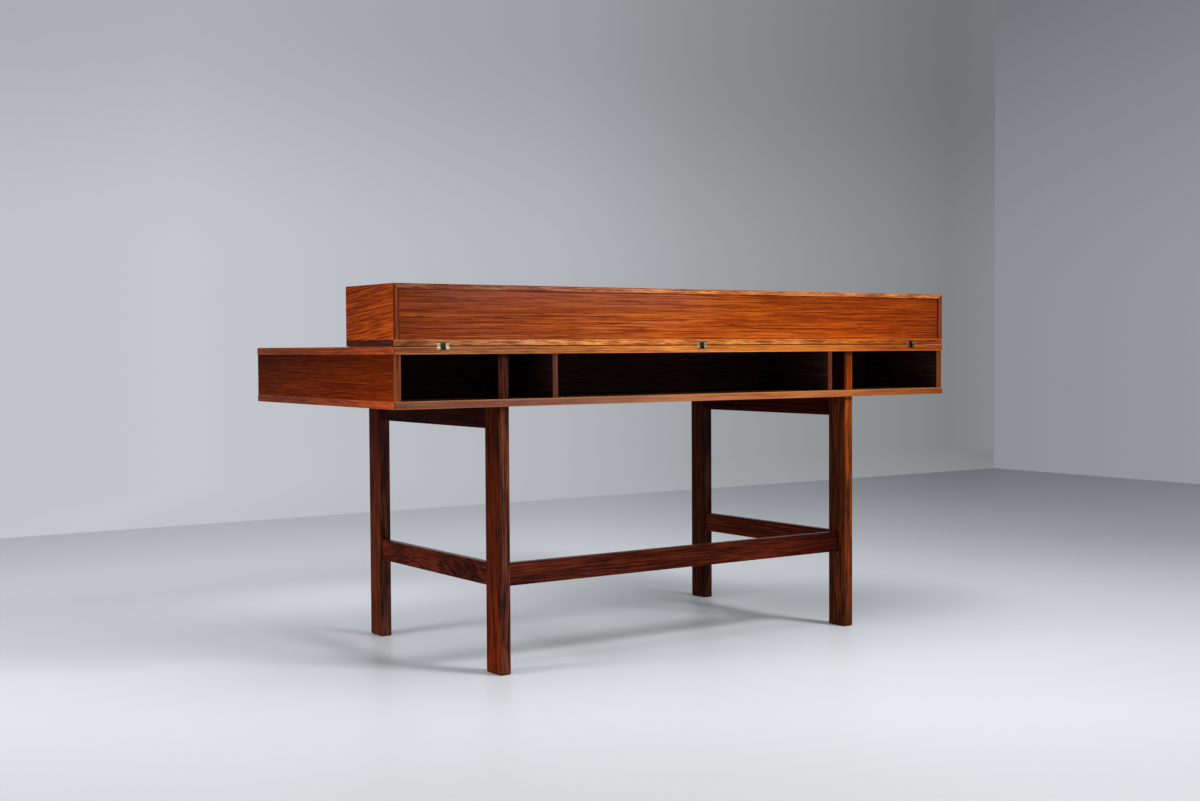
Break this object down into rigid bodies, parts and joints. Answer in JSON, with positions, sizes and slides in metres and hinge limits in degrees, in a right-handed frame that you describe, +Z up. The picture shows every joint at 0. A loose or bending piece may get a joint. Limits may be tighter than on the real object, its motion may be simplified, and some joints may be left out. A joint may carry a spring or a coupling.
{
  "type": "partners desk",
  "caption": "Writing desk with open shelves on one side, drawers on the other, and a long box on top that turns over to widen the writing surface, on slim stretchered legs.",
  "frame": {"origin": "centre of the bounding box's footprint, on the floor", "axes": "+X along the desk, to the right when seen from the shelf side; +Y towards the drawer side; +Z up"},
  "size_m": [1.63, 0.74, 0.858],
  "materials": {
    "rosewood": "satin oiled rosewood veneer",
    "edge_rosewood": "satin solid rosewood edging, golden sapwood tone",
    "base_rosewood": "satin oiled solid rosewood, dark streaks",
    "inner_rosewood": "satin rosewood veneer, dark",
    "drawer_wood": "waxed pale hardwood",
    "brass": "satin brass",
    "steel": "plain steel"
  },
  "bodies": {
    "desk": {"leg_shelf_left": "base_rosewood", "leg_shelf_right": "base_rosewood", "leg_drawer_left": "base_rosewood", "leg_drawer_right": "base_rosewood", "upper_rail_left": "base_rosewood", "upper_rail_right": "base_rosewood", "side_stretcher_left": "base_rosewood", "side_stretcher_right": "base_rosewood", "long_stretcher": "base_rosewood", "base_screws": "steel", "top_panel": "rosewood", "top_lippings": "edge_rosewood", "bottom_panel": "rosewood", "bottom_lippings": "edge_rosewood", "end_panel_left": "rosewood", "end_panel_right": "rosewood", "divider_left": "rosewood", "divider_right": "rosewood", "shelf_back_left": "inner_rosewood", "shelf_back_centre": "inner_rosewood", "shelf_back_right": "inner_rosewood", "drawer_partition": "rosewood", "drawer_stops": "drawer_wood", "hinge_left_lower_leaf": "brass", "hinge_centre_lower_leaf": "brass", "hinge_right_lower_leaf": "brass", "hinge_screws_lower": "brass"},
    "hinge_links": {"hinge_left_link": "brass", "hinge_centre_link": "brass", "hinge_right_link": "brass", "hinge_pins": "steel"},
    "flap_box": {"box_top": "rosewood", "box_bottom": "rosewood", "box_end_left": "rosewood", "box_end_right": "rosewood", "box_back": "rosewood", "box_divider_left": "inner_rosewood", "box_divider_centre": "inner_rosewood", "box_divider_right": "inner_rosewood", "hinge_left_upper_leaf": "brass", "hinge_centre_upper_leaf": "brass", "hinge_right_upper_leaf": "brass", "hinge_screws_upper": "brass"},
    "drawer_left": {"drawer_left_front": "rosewood", "drawer_left_sides": "drawer_wood", "drawer_left_back": "drawer_wood", "drawer_left_bottom": "drawer_wood"},
    "drawer_centre_left": {"drawer_centre_left_front": "rosewood", "drawer_centre_left_sides": "drawer_wood", "drawer_centre_left_back": "drawer_wood", "drawer_centre_left_bottom": "drawer_wood"},
    "drawer_centre_right": {"drawer_centre_right_front": "rosewood", "drawer_centre_right_sides": "drawer_wood", "drawer_centre_right_back": "drawer_wood", "drawer_centre_right_bottom": "drawer_wood"},
    "drawer_right": {"drawer_right_front": "rosewood", "drawer_right_sides": "drawer_wood", "drawer_right_back": "drawer_wood", "drawer_right_bottom": "drawer_wood"}
  },
  "joints": [
    {"name": "link_swing", "type": "hinge", "parent": "desk", "child": "hinge_links", "pos_m": [0, -0.3665, 0.721], "axis": [1, 0, 0], "range_deg": [0, 90]},
    {"name": "box_turn", "type": "hinge", "parent": "hinge_links", "child": "flap_box", "pos_m": [0, -0.3665, 0.73], "axis": [1, 0, 0], "range_deg": [0, 90]},
    {"name": "drawer_left_slide", "type": "slide", "parent": "desk", "child": "drawer_left", "axis": [0, 1, 0], "range_m": [0, 0.33]},
    {"name": "drawer_centre_left_slide", "type": "slide", "parent": "desk", "child": "drawer_centre_left", "axis": [0, 1, 0], "range_m": [0, 0.33]},
    {"name": "drawer_centre_right_slide", "type": "slide", "parent": "desk", "child": "drawer_centre_right", "axis": [0, 1, 0], "range_m": [0, 0.33]},
    {"name": "drawer_right_slide", "type": "slide", "parent": "desk", "child": "drawer_right", "axis": [0, 1, 0], "range_m": [0, 0.33]}
  ]
}
